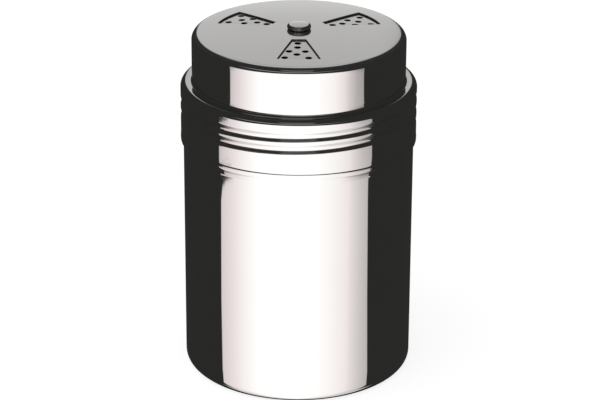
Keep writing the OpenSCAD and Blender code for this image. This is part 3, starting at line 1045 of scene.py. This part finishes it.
def back_wall(bench, x, y, z, brightness):
    """The pale wall behind, which runs on over the shaker as a ceiling."""
    hoop = bench.math("ARCTAN2", z, y) * (1 / math.pi)
    aside = bench.math("ARCSINE", x) * (1 / DEGREE)
    reach = bench.ramp(hoop, WALL_REACH) * WALL_REACH_UNIT
    within = bench.rise(reach - bench.math("ABSOLUTE", aside - WALL_MIDDLE), -WALL_BLUR, WALL_BLUR)
    return bench.ramp(hoop, WALL) * within * brightness


def paint_surroundings(scene, studio):
    """The room that the steel mirrors. Only mirrored rays see it: all others see plain white."""
    world = bpy.data.worlds.new("studio")
    world.use_nodes = True
    scene.world = world
    bench = Bench(world.node_tree)
    x, y, z = bench.parts(bench.node("ShaderNodeTexCoord", None, None, "Generated"))
    height = bench.math("ARCSINE", z) * (1 / math.pi) + 0.5
    side = bench.math("ARCTAN2", x, y * -1.0) * (1 / math.pi) + 0.5
    card = white_card(bench, height, side, studio.card)
    strip = bench.ramp(height, STRIP) * bench.ramp(side, STRIP_SIDES)
    pale = strip + back_wall(bench, x, y, z, studio.wall)
    pale = bench.math("MAXIMUM", pale, floor_glow(bench, height, y, z))
    grey = bench.vector(pale, pale, pale)
    lit = bench.node("ShaderNodeVectorMath", {"operation": "MAXIMUM"}, {0: card, 1: grey})
    dark = (studio.dark, studio.dark, studio.dark * 0.97)
    room = bench.node("ShaderNodeVectorMath", {"operation": "MAXIMUM"}, {0: lit, 1: dark})
    glossy = bench.node("ShaderNodeLightPath", None, None, "Is Glossy Ray")
    through = bench.node("ShaderNodeLightPath", None, None, "Is Transmission Ray")
    mirrored = bench.math("MAXIMUM", glossy, through)
    plain = bench.node("ShaderNodeBackground", None, {"Color": (1, 1, 1, 1), "Strength": 1.0})
    shown = bench.node("ShaderNodeBackground", None, {"Color": room, "Strength": 1.0})
    mixed = bench.node("ShaderNodeMixShader", None, {0: mirrored, 1: plain, 2: shown})
    bench.node("ShaderNodeOutputWorld", None, {"Surface": mixed})


def place_camera(scene, studio):
    """The camera looks down at the shaker from the front."""
    data = bpy.data.cameras.new("camera")
    data.lens = studio.lens
    data.sensor_width = 36.0
    data.sensor_fit = "HORIZONTAL"
    data.clip_start = 0.05
    data.clip_end = 20.0
    camera = bpy.data.objects.new("camera", data)
    look = Matrix.Rotation(math.pi / 2 - studio.pitch, 4, "X") @ Matrix.Rotation(studio.roll, 4, "Z")
    back = Vector((0, -math.cos(studio.pitch), math.sin(studio.pitch)))
    aim = Vector((studio.aim_side, 0, studio.aim_height))
    camera.matrix_world = Matrix.Translation(aim + back * studio.distance) @ look
    scene.collection.objects.link(camera)
    scene.camera = camera


class SHAKER_PT_panel(bpy.types.Panel):
    """Lists the pieces of the shaker and its studio."""

    bl_label = "Steel Spice Shaker"
    bl_idname = "SHAKER_PT_panel"
    bl_space_type = "VIEW_3D"
    bl_region_type = "UI"
    bl_category = "Shaker"

    def draw(self, context):
        for operator in OPERATORS:
            self.layout.operator(operator.bl_idname)


GROUPS = {
    "shaker_can": CanSizes,
    "shaker_thread": ThreadSizes,
    "shaker_lid": LidSizes,
    "shaker_window": WindowSizes,
    "shaker_disc": DiscSizes,
    "shaker_knob": KnobSizes,
    "shaker_washer": WasherSizes,
    "shaker_finish": SteelFinish,
    "shaker_studio": StudioSettings,
}
OPERATORS = (
    SHAKER_OT_can,
    SHAKER_OT_lid,
    SHAKER_OT_sieve_disc,
    SHAKER_OT_knob,
    SHAKER_OT_washers,
    SHAKER_OT_studio,
)
CLASSES = (*GROUPS.values(), *OPERATORS, SHAKER_PT_panel)


def register():
    """Adds the classes, and the groups of settings to the scene."""
    for cls in CLASSES:
        bpy.utils.register_class(cls)
    for name, group in GROUPS.items():
        setattr(bpy.types.Scene, name, PointerProperty(type=group))


def unregister():
    """Takes them away again."""
    for name in GROUPS:
        delattr(bpy.types.Scene, name)
    for cls in reversed(CLASSES):
        bpy.utils.unregister_class(cls)


def main():
    register()
    bpy.ops.shaker.can()
    bpy.ops.shaker.lid()
    bpy.ops.shaker.sieve_disc()
    bpy.ops.shaker.knob()
    bpy.ops.shaker.washers()
    bpy.ops.shaker.studio()


if __name__ == "__main__":
    main()
